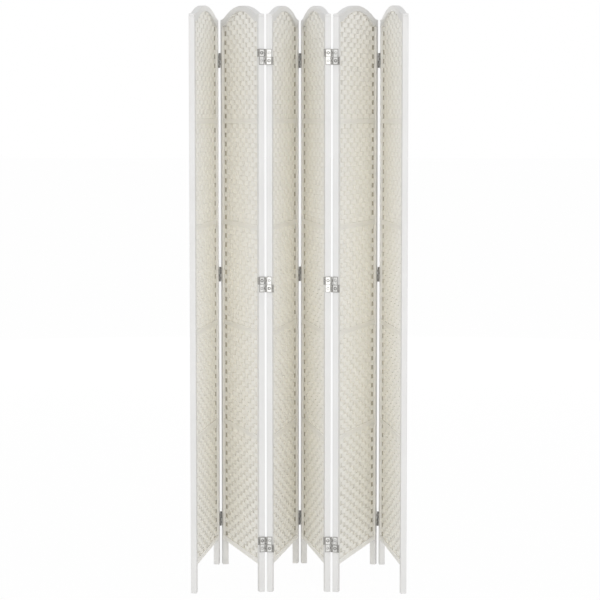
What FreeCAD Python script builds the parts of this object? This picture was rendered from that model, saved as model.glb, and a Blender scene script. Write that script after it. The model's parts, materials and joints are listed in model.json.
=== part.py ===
import FreeCAD, Part
import math
import os
import re
import Sketcher

# A six-panel folding privacy screen. Each panel is a frame of two posts, an arched crest rail and five
# rails, filled with a weave on upright rods. Two-way hinges with crossing links join it edge to edge.

V = FreeCAD.Vector
UP = V(0, 0, 1)
ACROSS = V(1, 0, 0)
FRONT, BACK = -1, 1
HALF_TURN = 180
PANEL_COUNT = 6
ROD_COUNT = 12
CROSS_RAIL_COUNT = 4
HINGE_LEVELS = ("low_hinge_level", "middle_hinge_level", "top_hinge_level")

# The driving dimensions, in millimetres and degrees
SIZES = {
    # The frame of one panel
    "panel_width": 400,
    "end_height": 1668,
    "frame_thickness": 17,
    "post_width": 18,
    "post_round": 2,
    # The crest rail: how far it arches up, and how thick it is over, beside and between the posts
    "crest_rise": 32,
    "crest_tail": 7,
    "crest_shoulder": 22,
    "crest_band": 16,
    "crest_round": 1.5,
    "hollow_share": 0.25,
    # The rails and their round tenons
    "rail_height": 15,
    "rail_thickness": 12,
    "floor_gap": 78,
    "top_rail_level": 1363,
    "rail_spacing": 305,
    "tenon_radius": 4,
    "tenon_length": 10,
    "joint_clearance": 0.1,
    # The rods and the weave on them
    "rod_radius": 3,
    "rod_margin": 9,
    "rod_seat": 8,
    "rod_clearance": 0.3,
    "weave_thickness": 11,
    "weave_clearance": 0.3,
    # The hinges
    "hinge_height": 45,
    "low_hinge_level": 140,
    "middle_hinge_level": 896,
    "top_hinge_level": 1546,
    "edge_gap": 5,
    "pin_stand_off": 2.2,
    "pin_radius": 1.2,
    "pin_clearance": 0.05,
    "knuckle_gap": 0.3,
    "swing_gap": 0.4,
    "leaf_thickness": 1.2,
    "leaf_width": 15,
    "access_radius": 4,
    "screw_radius": 1.5,
    "screw_length": 14,
    "screw_head_radius": 3,
    "screw_crown_radius": 2,
    "screw_head_height": 1,
    "recess_span": 3,
    "recess_width": 0.7,
    "recess_depth": 0.6,
    # How the screen stands: the first panel's heading, and the angle open at each hinge line
    "first_heading": 82.5,
    "opening_1_2": 25.5,
    "opening_2_3": 29,
    "opening_3_4": 21,
    "opening_4_5": 28.5,
    "opening_5_6": 25.5,
}

# Formulas that several pieces share
PIN_REACH = "(frame_thickness / 2 + pin_stand_off)"
KNUCKLE_RADIUS = "(edge_gap / 2)"
KNUCKLE_PITCH = "(hinge_height / 6)"
BORE_RADIUS = "(pin_radius + pin_clearance)"
POST_HEIGHT = "(end_height - crest_tail)"
INNER_WIDTH = "(panel_width - 2 * post_width)"
CREST_TOP = "(end_height + crest_rise)"
BAND_RISE = "(crest_rise + crest_shoulder - crest_band)"
ROD_FOOT = "(floor_gap + rail_height - rod_seat)"
ROD_PITCH = f"(({INNER_WIDTH} - 2 * rod_margin) / {ROD_COUNT - 1})"
RAIL_LEVELS = [f"(top_rail_level - {n} * rail_spacing)" for n in range(CROSS_RAIL_COUNT)]
RAIL_LEVELS.append("(floor_gap + rail_height / 2)")

doc = FreeCAD.newDocument("folding_screen")
sheet = doc.addObject("Spreadsheet::Sheet", "Sizes")
for row, (alias, value) in enumerate(SIZES.items(), start=1):
    sheet.set(f"A{row}", alias.replace("_", " "))
    sheet.set(f"B{row}", str(value))
    sheet.setAlias(f"B{row}", alias)
doc.recompute()


# Helpers that bind shapes to the sheet


def size(name):
    """The value of one cell of the sheet."""
    return float(sheet.get(name))


def on_sheet(formula):
    """A formula of size names, written on the sheet's cells."""
    return re.sub(r"[a-z]\w*", lambda name: "Sizes." + name.group(), formula)


def tie(thing, **formulas):
    """Binds properties of an object to formulas of the sizes."""
    for name, formula in formulas.items():
        thing.setExpression(name, on_sheet(formula))


def place(thing, at):
    """Binds an object's place to three formulas."""
    for axis, formula in zip("xyz", at):
        thing.setExpression("Placement.Base." + axis, on_sheet(formula))


def make_block(name, at, span):
    """A block from its low corner and its three spans."""
    block = doc.addObject("Part::Box", name)
    tie(block, Length=span[0], Width=span[1], Height=span[2])
    place(block, at)
    return block


def make_bar(name, at, radius, length, along=UP):
    """A round bar from the middle of its first end."""
    bar = doc.addObject("Part::Cylinder", name)
    bar.Placement = FreeCAD.Placement(V(), FreeCAD.Rotation(UP, along))
    tie(bar, Radius=radius, Height=length)
    place(bar, at)
    return bar


def join(name, pieces):
    """One solid from pieces that overlap."""
    fused = doc.addObject("Part::MultiFuse", name)
    fused.Shapes = pieces
    return fused


def group(name, pieces):
    """Separate solids kept together."""
    compound = doc.addObject("Part::Compound", name)
    compound.Links = pieces
    return compound


def combine(kind, name, base, tool):
    """A boolean of two objects: Part::Cut or Part::Common."""
    result = doc.addObject(kind, name)
    result.Base = base
    result.Tool = tool
    return result


def start_outline(body, name):
    """A sketch on the body's own upright plane, seen from the front."""
    sketch = body.newObject("Sketcher::SketchObject", name)
    plane = [part for part in body.Origin.OriginFeatures if part.Role == "XZ_Plane"][0]
    sketch.AttachmentSupport = (plane, [""])
    sketch.MapMode = "FlatFace"
    return sketch


def add_rule(sketch, kind, *spec):
    """A relation between edges of an outline."""
    return sketch.addConstraint(Sketcher.Constraint(kind, *spec))


def add_measure(sketch, formula, kind, *spec):
    """A dimension of an outline, bound to a formula."""
    index = add_rule(sketch, kind, *spec)
    sketch.setExpression(f"Constraints[{index}]", on_sheet(formula))


def add_lines(sketch, corners):
    """Straight edges through corners, each held level or upright and joined to the next."""
    edges = []
    for start, end in zip(corners, corners[1:]):
        edge = sketch.addGeometry(Part.LineSegment(V(*start, 0), V(*end, 0)), False)
        add_rule(sketch, "Horizontal" if math.isclose(start[1], end[1]) else "Vertical", edge)
        if edges:
            add_rule(sketch, "Coincident", edges[-1], 2, edge, 1)
        edges.append(edge)
    return edges


def add_arch(sketch, left, right, level, rise, formulas):
    """The crest's curve between two level ends: a hollow, the crown and the other hollow."""
    run = (right - left) / 2
    reach = (run * run + rise * rise) / (2 * rise)
    hollow = size("hollow_share") * reach
    crown = reach - hollow
    turn = 2 * math.atan2(rise, run)
    down = -math.pi / 2
    arcs = (
        (V(left, level + hollow, 0), hollow, down, down + turn),
        (V(left + run, level + rise - crown, 0), crown, -down - turn, -down + turn),
        (V(right, level + hollow, 0), hollow, down - turn, down),
    )
    first, middle, last = [
        sketch.addGeometry(Part.ArcOfCircle(Part.Circle(centre, UP, radius), begin, end), False)
        for centre, radius, begin, end in arcs
    ]
    add_rule(sketch, "Tangent", first, 2, middle, 2)
    add_rule(sketch, "Tangent", middle, 1, last, 1)
    add_rule(sketch, "Equal", first, last)
    add_rule(sketch, "Vertical", first, 3, first, 1)
    add_rule(sketch, "Vertical", last, 3, last, 2)
    run_text, rise_text = formulas
    whole = f"({run_text} * {run_text} + {rise_text} * {rise_text}) / (2 * {rise_text})"
    add_measure(sketch, f"hollow_share * {whole}", "Radius", first, hollow)
    add_measure(sketch, f"(1 - hollow_share) * {whole}", "Radius", middle, crown)
    return first, last


def pad_outline(body, sketch, thickness):
    """Thickens an outline equally to the front and the back."""
    pad = body.newObject("PartDesign::Pad", sketch.Name + "_pad")
    pad.Profile = sketch
    pad.SideType = "Symmetric"
    tie(pad, Length=thickness)
    return pad


def round_edges(body, base, wanted, radius):
    """Rounds the edges of the base that the test picks."""
    doc.recompute()
    edges = enumerate(base.Shape.Edges, start=1)
    rounding = body.newObject("PartDesign::Fillet", base.Name + "_rounding")
    rounding.Base = (base, [f"Edge{n}" for n, edge in edges if wanted(edge.BoundBox)])
    tie(rounding, Radius=radius)


# The frame of one panel, with its left edge at x = 0 and its middle plane at y = 0


def make_post(name, has_hinges):
    """An upright with sockets for the rails and, where it carries hinges, holes for their screws."""
    body = doc.addObject("PartDesign::Body", name + "_blank")
    bar = body.newObject("PartDesign::AdditiveBox", name + "_bar")
    tie(bar, Length="post_width", Width="frame_thickness", Height=POST_HEIGHT)
    place(bar, ("0", "-frame_thickness / 2", "0"))
    round_edges(body, bar, lambda box: box.ZMin < size("post_round"), "post_round")
    sockets = [
        make_bar(
            f"{name}_socket_{n}",
            ("post_width - tenon_length - joint_clearance", "0", level),
            "tenon_radius + joint_clearance",
            "tenon_length + joint_clearance",
            ACROSS,
        )
        for n, level in enumerate(RAIL_LEVELS, start=1)
    ]
    pilots = [
        make_bar(
            f"{name}_{level}_{word}_pilot",
            ("0", "0", f"{level} {sign} hinge_height / 4"),
            "screw_radius + pin_clearance",
            "screw_length - leaf_thickness + joint_clearance",
            ACROSS,
        )
        for level in HINGE_LEVELS
        for word, sign in (("upper", "+"), ("lower", "-"))
        if has_hinges
    ]
    return combine("Part::Cut", name, body, group(name + "_holes", sockets + pilots))


def make_crest():
    """The arched top rail: thin tails over the posts, shoulders between them, and a curved band."""
    body = doc.addObject("PartDesign::Body", "crest_blank")
    sketch = start_outline(body, "crest_outline")
    width, top, post = size("panel_width"), size("end_height"), size("post_width")
    tail = top - size("crest_tail")
    shoulder = top - size("crest_shoulder")
    right = [(width, top), (width, tail), (width - post, tail), (width - post, shoulder)]
    left = [(post, shoulder), (post, tail), (0, tail), (0, top)]
    right_end, right_seat, right_shoulder = add_lines(sketch, right)
    left_shoulder, left_seat, left_end = add_lines(sketch, left)
    upper = add_arch(sketch, 0, width, top, size("crest_rise"), ("(panel_width / 2)", "crest_rise"))
    rise = size("crest_rise") + size("crest_shoulder") - size("crest_band")
    run = f"({INNER_WIDTH} / 2)"
    lower = add_arch(sketch, post, width - post, shoulder, rise, (run, BAND_RISE))
    add_rule(sketch, "Coincident", left_end, 2, upper[0], 1)
    add_rule(sketch, "Coincident", upper[1], 2, right_end, 1)
    add_rule(sketch, "Coincident", right_shoulder, 2, lower[1], 2)
    add_rule(sketch, "Coincident", lower[0], 1, left_shoulder, 1)
    add_rule(sketch, "PointOnObject", left_end, 1, -2)
    add_rule(sketch, "Horizontal", left_end, 2, right_end, 1)
    for edge, twin in ((left_end, right_end), (left_shoulder, right_shoulder)):
        add_rule(sketch, "Equal", edge, twin)
    add_measure(sketch, "end_height", "DistanceY", -1, 1, left_end, 2, top)
    add_measure(sketch, "panel_width", "DistanceX", -1, 1, right_end, 1, width)
    add_measure(sketch, "crest_tail", "DistanceY", left_end, 1, left_end, 2, top - tail)
    reach = "crest_shoulder - crest_tail"
    add_measure(sketch, reach, "DistanceY", left_shoulder, 1, left_shoulder, 2, tail - shoulder)
    add_measure(sketch, "post_width", "DistanceX", left_seat, 2, left_seat, 1, post)
    add_measure(sketch, "post_width", "DistanceX", right_seat, 2, right_seat, 1, post)
    pad = pad_outline(body, sketch, "frame_thickness")
    skin = size("frame_thickness") / 2
    round_edges(
        body,
        pad,
        lambda box: box.ZMin > tail + size("crest_tail") / 2 and box.YLength < skin,
        "crest_round",
    )
    return body


def make_field(name, foot, inset, lift, thickness):
    """The space inside a frame, from a level foot up to the crest's lower curve raised by the lift."""
    body = doc.addObject("PartDesign::Body", name + "_body")
    sketch = start_outline(body, name + "_outline")
    low = size("floor_gap") + size("rail_height")
    level = size("end_height") - size("crest_shoulder")
    left, right = size("post_width"), size("panel_width") - size("post_width")
    corners = [(right, level), (right, low), (left, low), (left, level)]
    right_side, base, left_side = add_lines(sketch, corners)
    rise = size("crest_rise") + size("crest_shoulder") - size("crest_band")
    run = f"({INNER_WIDTH} / 2 - {inset})"
    first, last = add_arch(sketch, left, right, level, rise, (run, BAND_RISE))
    add_rule(sketch, "Coincident", left_side, 2, first, 1)
    add_rule(sketch, "Coincident", last, 2, right_side, 1)
    add_rule(sketch, "Equal", left_side, right_side)
    add_measure(sketch, foot, "DistanceY", -1, 1, base, 2, low)
    add_measure(sketch, f"post_width + {inset}", "DistanceX", -1, 1, base, 2, left)
    add_measure(sketch, f"{INNER_WIDTH} - 2 * {inset}", "DistanceX", base, 2, base, 1, right - left)
    height = f"end_height - crest_shoulder + {lift} - {foot}"
    add_measure(sketch, height, "DistanceY", left_side, 1, left_side, 2, level - low)
    pad_outline(body, sketch, thickness)
    return body


def make_rails(rod_holes):
    """The four cross rails and the bottom rail, each with two tenons and the holes for the rods."""
    rails = []
    for number, level in enumerate(RAIL_LEVELS, start=1):
        beam = make_block(
            f"rail_{number}_beam",
            ("post_width", "-rail_thickness / 2", f"{level} - rail_height / 2"),
            (INNER_WIDTH, "rail_thickness", "rail_height"),
        )
        tenons = make_bar(
            f"rail_{number}_tenons",
            ("post_width - tenon_length", "0", level),
            "tenon_radius",
            f"{INNER_WIDTH} + 2 * tenon_length",
            ACROSS,
        )
        rails.append(join(f"rail_{number}", [beam, tenons]))
    return combine("Part::Cut", "rails", group("rail_blanks", rails), rod_holes)


def make_rods(name, radius):
    """Upright bars, evenly spaced between the posts, from the bottom rail to past the crest."""
    bars = [
        make_bar(
            f"{name}_{n}",
            (f"post_width + rod_margin + {n} * {ROD_PITCH}", "0", ROD_FOOT),
            radius,
            f"{CREST_TOP} - {ROD_FOOT}",
        )
        for n in range(ROD_COUNT)
    ]
    return group(name, bars)


def make_weave(rod_holes):
    """The woven fill of the five bays, with room for the rods and the rails."""
    foot = "(floor_gap + rail_height + weave_clearance)"
    field = make_field("weave", foot, "weave_clearance", "(-weave_clearance)", "weave_thickness")
    slots = [
        make_block(
            f"weave_slot_{n}",
            ("0", "-weave_thickness", f"{level} - rail_height / 2 - weave_clearance"),
            ("panel_width", "2 * weave_thickness", "rail_height + 2 * weave_clearance"),
        )
        for n, level in enumerate(RAIL_LEVELS[:CROSS_RAIL_COUNT], start=1)
    ]
    bays = combine("Part::Cut", "weave_bays", field, group("weave_slots", slots))
    return combine("Part::Cut", "weave", bays, rod_holes)


# One hinge, with its leaf on a right-hand edge at x = 0 and its middle at z = 0


def make_leaf():
    """A leaf plate with one knuckle at the front of its upper half and one at the back of its lower half."""
    plate = make_block(
        "leaf_plate",
        ("0", "-leaf_width / 2", "-hinge_height / 2"),
        ("leaf_thickness", "leaf_width", "hinge_height"),
    )
    solids, holes = [plate], []
    length = f"{KNUCKLE_PITCH} - knuckle_gap"
    for word, sign, arm_start in (("upper", "-", f"-{PIN_REACH}"), ("lower", "", "0")):
        low = f"{KNUCKLE_PITCH} + knuckle_gap / 2" if sign else f"-2 * {KNUCKLE_PITCH} + knuckle_gap / 2"
        arm = make_block(f"leaf_{word}_arm", ("0", arm_start, low), ("leaf_thickness", PIN_REACH, length))
        axis = ("edge_gap / 2", f"{sign}{PIN_REACH}", low)
        solids += [arm, make_bar(f"leaf_{word}_knuckle", axis, KNUCKLE_RADIUS, length)]
        holes.append(make_bar(f"leaf_{word}_bore", axis, BORE_RADIUS, length))
        level = f"{'' if sign else '-'}hinge_height / 4"
        reach = "screw_radius + joint_clearance"
        holes.append(make_bar(f"leaf_{word}_hole", ("0", "0", level), reach, "leaf_thickness", ACROSS))
    return combine("Part::Cut", "leaf", join("leaf_blank", solids), group("leaf_holes", holes))


def make_hinge_link():
    """The upper link: a flat plate with two knuckles at each end and a hole that lets the screw show."""
    low = "knuckle_gap / 2"
    height = f"3 * {KNUCKLE_PITCH} - knuckle_gap"
    plate = make_block(
        "link_plate",
        ("edge_gap / 2 - leaf_thickness / 2", f"-{PIN_REACH}", low),
        ("leaf_thickness", f"2 * {PIN_REACH}", height),
    )
    inner = f"({PIN_REACH} - {KNUCKLE_RADIUS} - swing_gap)"
    notch_span = ("edge_gap", "edge_gap + swing_gap", f"{KNUCKLE_PITCH} + knuckle_gap")
    notches, knuckles = [], []
    holes = [make_bar("link_access", ("0", "0", "hinge_height / 4"), "access_radius", "edge_gap", ACROSS)]
    for word, sign, notch_start in (("front", "-", f"-{inner} - edge_gap - swing_gap"), ("back", "", inner)):
        notch = ("0", notch_start, f"{KNUCKLE_PITCH} - knuckle_gap / 2")
        notches.append(make_block(f"link_{word}_notch", notch, notch_span))
        axis = ("edge_gap / 2", f"{sign}{PIN_REACH}")
        holes.append(make_bar(f"link_{word}_bore", (*axis, low), BORE_RADIUS, height))
        knuckles += [
            make_bar(
                f"link_{word}_knuckle_{step}",
                (*axis, f"{step} * {KNUCKLE_PITCH} + knuckle_gap / 2"),
                KNUCKLE_RADIUS,
                f"{KNUCKLE_PITCH} - knuckle_gap",
            )
            for step in (0, 2)
        ]
    notched = combine("Part::Cut", "link_notched", plate, group("link_notches", notches))
    return combine("Part::Cut", "link", join("link_blank", [notched, *knuckles]), group("link_holes", holes))


def make_pins():
    """The two pins of one leaf."""
    length = f"3 * {KNUCKLE_PITCH} - knuckle_gap"
    upper = ("edge_gap / 2", f"-{PIN_REACH}", "knuckle_gap / 2")
    lower = ("edge_gap / 2", PIN_REACH, f"-3 * {KNUCKLE_PITCH} + knuckle_gap / 2")
    spots = (("upper", upper), ("lower", lower))
    return group("pins", [make_bar(f"{word}_pin", at, "pin_radius", length) for word, at in spots])


def make_screw(word, level):
    """A crowned screw with a cross recess, driven through the leaf into the post."""
    head = doc.addObject("Part::Cone", f"{word}_screw_head")
    head.Placement = FreeCAD.Placement(V(), FreeCAD.Rotation(UP, ACROSS))
    tie(head, Radius1="screw_head_radius", Radius2="screw_crown_radius", Height="screw_head_height")
    place(head, ("leaf_thickness", "0", level))
    shank = make_bar(
        f"{word}_screw_shank",
        ("leaf_thickness - screw_length", "0", level),
        "screw_radius",
        "screw_length",
        ACROSS,
    )
    bottom = "leaf_thickness + screw_head_height - recess_depth"
    slot_spans = (("level", "recess_span", "recess_width"), ("upright", "recess_width", "recess_span"))
    slots = [
        make_block(
            f"{word}_{way}_slot",
            (bottom, f"-{across} / 2", f"{level} - {tall} / 2"),
            ("screw_head_height", across, tall),
        )
        for way, across, tall in slot_spans
    ]
    solid = join(f"{word}_screw_blank", [head, shank])
    return combine("Part::Cut", f"{word}_screw", solid, join(f"{word}_recess", slots))


# The pieces that every panel uses


rod_holes = make_rods("rod_holes", "rod_radius + rod_clearance")
rod_limit = make_field("rod_limit", ROD_FOOT, "0", "rod_seat", "frame_thickness")
socket_limit = make_field("socket_limit", ROD_FOOT, "0", "(rod_seat + rod_clearance)", "frame_thickness")
PLAIN_POST = make_post("plain_post", False)
HINGE_POST = make_post("hinge_post", True)
rod_sockets = combine("Part::Common", "rod_sockets", rod_holes, socket_limit)
CREST = combine("Part::Cut", "crest", make_crest(), rod_sockets)
RAILS = make_rails(rod_holes)
RODS = combine("Part::Common", "rods", make_rods("rod_blanks", "rod_radius"), rod_limit)
WEAVE = make_weave(rod_holes)
LEAF = make_leaf()
LINK = make_hinge_link()
PINS = make_pins()
SCREW_LEVELS = (("upper", "hinge_height / 4"), ("lower", "(-hinge_height / 4)"))
SCREWS = group("screws", [make_screw(word, level) for word, level in SCREW_LEVELS])
doc.recompute()


# The six panels, chained through their hinge axes


def fold_side(line):
    """The side of the acting pin: hinge lines at the back fold forwards, those at the front fold back."""
    return FRONT if line % 2 else BACK


def panel_places():
    """Where each panel stands before the screen is centred."""
    width, half_gap = size("panel_width"), size("edge_gap") / 2
    reach = size("frame_thickness") / 2 + size("pin_stand_off")
    heading = size("first_heading")
    spot = V()
    places = [FreeCAD.Placement(spot, FreeCAD.Rotation(UP, heading))]
    for line in range(1, PANEL_COUNT):
        side = fold_side(line)
        axis = places[-1].multVec(V(width + half_gap, side * reach, 0))
        heading += side * (HALF_TURN - size(f"opening_{line}_{line + 1}"))
        turn = FreeCAD.Rotation(UP, heading)
        places.append(FreeCAD.Placement(axis - turn.multVec(V(-half_gap, side * reach, 0)), turn))
    return places


def stand(name, master, at):
    """A copy of a piece, placed."""
    copy = doc.addObject("App::Link", name)
    copy.LinkedObject = master
    copy.Placement = at
    return copy


def hinge_spots(panel):
    """The hinge places of one panel, on its left edge and on its right edge."""
    left = FreeCAD.Placement(V(), FreeCAD.Rotation(UP, HALF_TURN))
    right = FreeCAD.Placement(V(size("panel_width"), 0, 0), FreeCAD.Rotation())
    edges = [edge for edge, present in ((left, panel > 1), (right, panel < PANEL_COUNT)) if present]
    levels = [FreeCAD.Placement(V(0, 0, size(level)), FreeCAD.Rotation()) for level in HINGE_LEVELS]
    return [level * edge for edge in edges for level in levels]


def make_panel(panel, at):
    """All the pieces of one panel. Even panels keep the upper links and odd panels the lower links."""
    name = f"panel_{panel}_"
    turned = FreeCAD.Placement(V(size("panel_width"), 0, 0), FreeCAD.Rotation(UP, HALF_TURN))
    upside_down = FreeCAD.Placement(V(), FreeCAD.Rotation(ACROSS, HALF_TURN))
    link_turn = upside_down if panel % 2 else FreeCAD.Placement()
    nodes = [
        stand(name + "left_post", HINGE_POST if panel > 1 else PLAIN_POST, at),
        stand(name + "right_post", HINGE_POST if panel < PANEL_COUNT else PLAIN_POST, at * turned),
        stand(name + "crest_rail", CREST, at),
        stand(name + "cross_rails", RAILS, at),
        stand(name + "warp_rods", RODS, at),
        stand(name + "woven_infill", WEAVE, at),
    ]
    hardware = (
        ("hinge_leaves", LEAF, FreeCAD.Placement()),
        ("hinge_links", LINK, link_turn),
        ("hinge_pins", PINS, FreeCAD.Placement()),
        ("hinge_screws", SCREWS, FreeCAD.Placement()),
    )
    for word, master, turn in hardware:
        copies = [
            stand(f"{name}{word}_{n}", master, spot * turn)
            for n, spot in enumerate(hinge_spots(panel), start=1)
        ]
        nodes.append(group(name + word, copies))
        nodes[-1].Placement = at
    return nodes


nodes = [
    node
    for panel, at in enumerate(panel_places(), start=1)
    for node in make_panel(panel, at)
]
doc.recompute()

# The origin is on the floor, in the middle of the box round the whole screen
bounds = FreeCAD.BoundBox()
for node in nodes:
    bounds.add(Part.getShape(node).BoundBox)
middle = V(bounds.Center.x, bounds.Center.y, 0)
for node in nodes:
    node.Placement.Base = node.Placement.Base - middle
doc.recompute()

# Nothing is written unless every object is sound
failed = [thing.Name for thing in doc.Objects if {"Invalid", "Error"} & set(thing.State)]
shapes = {node.Label: Part.getShape(node) for node in nodes}
failed += [label for label, shape in shapes.items() if shape.isNull() or not shape.isValid()]
if failed:
    raise RuntimeError("failed objects: " + ", ".join(failed))
os.makedirs("parts", exist_ok=True)
for label, shape in shapes.items():
    shape.exportStep(f"parts/{label}.step")
print("nodes", len(shapes), "solids", sum(len(shape.Solids) for shape in shapes.values()))
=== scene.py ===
import json
import math

import bmesh
import bpy
from bpy.props import FloatProperty, FloatVectorProperty, IntProperty, PointerProperty
from mathutils import Matrix, Vector, noise

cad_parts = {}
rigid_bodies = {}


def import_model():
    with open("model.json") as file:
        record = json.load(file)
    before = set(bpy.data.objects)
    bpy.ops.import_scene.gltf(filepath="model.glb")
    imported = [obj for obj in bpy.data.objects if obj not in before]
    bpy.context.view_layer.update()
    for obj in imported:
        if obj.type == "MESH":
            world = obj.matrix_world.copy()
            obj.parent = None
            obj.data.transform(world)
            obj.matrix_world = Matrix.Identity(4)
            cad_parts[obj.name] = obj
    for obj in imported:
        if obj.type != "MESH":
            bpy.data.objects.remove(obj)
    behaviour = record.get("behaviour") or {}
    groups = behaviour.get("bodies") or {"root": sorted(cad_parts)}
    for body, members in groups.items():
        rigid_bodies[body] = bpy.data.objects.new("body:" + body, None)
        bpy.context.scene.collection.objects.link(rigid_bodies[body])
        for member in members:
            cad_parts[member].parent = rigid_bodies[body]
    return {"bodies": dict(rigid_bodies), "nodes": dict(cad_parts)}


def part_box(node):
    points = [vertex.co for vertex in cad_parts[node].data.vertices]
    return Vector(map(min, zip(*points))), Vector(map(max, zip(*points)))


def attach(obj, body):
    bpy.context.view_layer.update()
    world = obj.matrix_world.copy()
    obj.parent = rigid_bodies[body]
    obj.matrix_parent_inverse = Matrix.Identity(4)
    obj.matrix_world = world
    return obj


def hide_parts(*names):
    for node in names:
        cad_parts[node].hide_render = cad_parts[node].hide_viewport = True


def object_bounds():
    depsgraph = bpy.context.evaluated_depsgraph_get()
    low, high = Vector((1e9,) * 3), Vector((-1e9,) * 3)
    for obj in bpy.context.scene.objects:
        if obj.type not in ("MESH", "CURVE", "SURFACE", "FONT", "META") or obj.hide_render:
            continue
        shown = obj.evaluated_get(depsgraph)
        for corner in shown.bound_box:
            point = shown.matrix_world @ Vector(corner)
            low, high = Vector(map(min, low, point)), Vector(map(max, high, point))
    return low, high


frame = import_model()
CAD_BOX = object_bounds()

bl_info = {
    "name": "Folding privacy screen",
    "version": (1, 0, 0),
    "blender": (4, 5, 0),
    "location": "3D View > Sidebar > Folding screen",
    "description": "Dresses a six-panel folding screen: painted frames, woven paper cord and plated hinges",
    "category": "Object",
}

UP = Vector((0, 0, 1))
PANELS = range(1, 1 + len(frame["bodies"]))
POST_MIDDLES = {
    panel: [sum(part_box(f"panel_{panel}_{side}_post"), Vector()) / 2 for side in ("left", "right")]
    for panel in PANELS
}
MILLIMETRE = 0.001
MERGE_DISTANCE = MILLIMETRE / 500
SHARP_ANGLE = math.radians(60)
# A face looks along an axis where more than this part of its normal does
FACING = 0.5
# The axes of a panel that the grain of a piece follows
ALONG, UPRIGHT = 0, 2
# The attribute that holds places on a piece, counted along its grain first
GRAIN_PLACE = "grain_place"


# Sizes and colours that a user would change


def length(name, description, default):
    """A length in metres."""
    return FloatProperty(name=name, description=description, default=default, unit="LENGTH", precision=4)


def share(name, description, default):
    """A part of a whole, from nothing to all of it."""
    return FloatProperty(
        name=name, description=description, default=default, subtype="FACTOR", min=0, max=1
    )


def colour(name, description, default):
    """A plain linear colour."""
    return FloatVectorProperty(
        name=name, description=description, default=default, subtype="COLOR", size=3, min=0, max=1
    )


class FOLDING_SCREEN_PG_frame(bpy.types.PropertyGroup):
    """The wooden frame of one panel."""

    post_width: length("Post width", "Width of a post along the panel", 0.018)
    thickness: length("Frame thickness", "Thickness of the posts and the crest rail", 0.017)
    end_height: length("End height", "Height of the panel at its two ends", 1.668)
    post_round: length("Post rounding", "Rounding of the edges of a post", 0.0014)
    crest_rise: length("Crest rise", "How far the crest arches above its ends", 0.032)
    crest_tail: length("Crest tail", "Thickness of the crest over a post", 0.007)
    crest_shoulder: length("Crest shoulder", "Height of the crest beside a post", 0.022)
    crest_band: length("Crest band", "Height of the crest at its middle", 0.016)
    crest_round: length("Crest rounding", "Rounding of the edges of the crest", 0.0015)
    hollow_share: share("Hollow share", "Share of the arch's radius that its hollow ends take", 0.25)
    rail_height: length("Rail height", "Height of a cross rail", 0.015)
    rail_thickness: length("Rail thickness", "Thickness of a cross rail", 0.012)
    rail_round: length("Rail rounding", "Rounding of the edges of a rail", 0.001)
    floor_gap: length("Floor gap", "Height of the bottom rail above the floor", 0.078)
    top_rail_level: length("Top rail level", "Height of the middle of the topmost cross rail", 1.363)
    rail_spacing: length("Rail spacing", "Distance between two cross rails", 0.305)
    cross_rails: IntProperty(name="Cross rails", description="Rails above the bottom rail", default=4)


class FOLDING_SCREEN_PG_weave(bpy.types.PropertyGroup):
    """The rods and the paper-cord weave on them."""

    rods: IntProperty(name="Rods", description="Upright rods in a panel", default=12)
    rod_radius: length("Rod radius", "Radius of a rod", 0.003)
    rod_margin: length("Rod margin", "From a post to the middle of the first rod", 0.009)
    rod_seat: length("Rod seat", "How deep a rod stands in the crest and the bottom rail", 0.008)
    row_height: length("Row height", "Height of one row of the weft", 0.0139)
    strands: IntProperty(name="Strands", description="Paper cords that lie together in a row", default=4)
    cord_radius: length("Cord radius", "Radius of one paper cord", 0.0016)
    press: length("Press", "How far the soft cords are pressed flat on a rod", 0.0014)
    groove_share: share("Groove", "Thickness of a row between two cords and at its edges", 0.82)
    swell_share: share("Swell", "How much a row spreads where it passes over a rod", 0.02)
    turn_share: share("Turn", "Height of a row where it turns round the outermost rod", 0.6)
    slack: length("Slack", "How far a row strays from its even course", 0.0005)


class FOLDING_SCREEN_PG_hinge(bpy.types.PropertyGroup):
    """The double hinges, three on each hinge line."""

    height: length("Height", "Height of a hinge", 0.045)
    low_level: length("Low level", "Height of the middle of the lowest hinge", 0.14)
    middle_level: length("Middle level", "Height of the middle of the middle hinge", 0.896)
    top_level: length("Top level", "Height of the middle of the topmost hinge", 1.546)
    edge_gap: length("Edge gap", "Gap between two panels that stand in line", 0.005)
    pin_reach: length("Pin reach", "From the middle of the frame's thickness to a pin", 0.0107)
    knuckle_gap: length("Knuckle gap", "Gap between two knuckles", 0.0003)
    swing_gap: length("Swing gap", "Room round a knuckle", 0.0004)
    leaf_thickness: length("Leaf thickness", "Thickness of the plates", 0.0012)
    leaf_width: length("Leaf width", "Width of a leaf", 0.015)
    access_radius: length("Access radius", "Radius of the hole over a screw", 0.004)
    screw_head: length("Screw head", "Radius of a screw's head", 0.003)
    screw_hole: length("Screw hole", "Radius of the hole for a screw", 0.0016)
    # The rim is a band of painted shade round a plate's outline.
    rim: length("Rim", "Width of the dark edge of a plate", 0.002)
    bevel: length("Bevel", "Rounding of the plates' edges", 0.0002)


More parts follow.
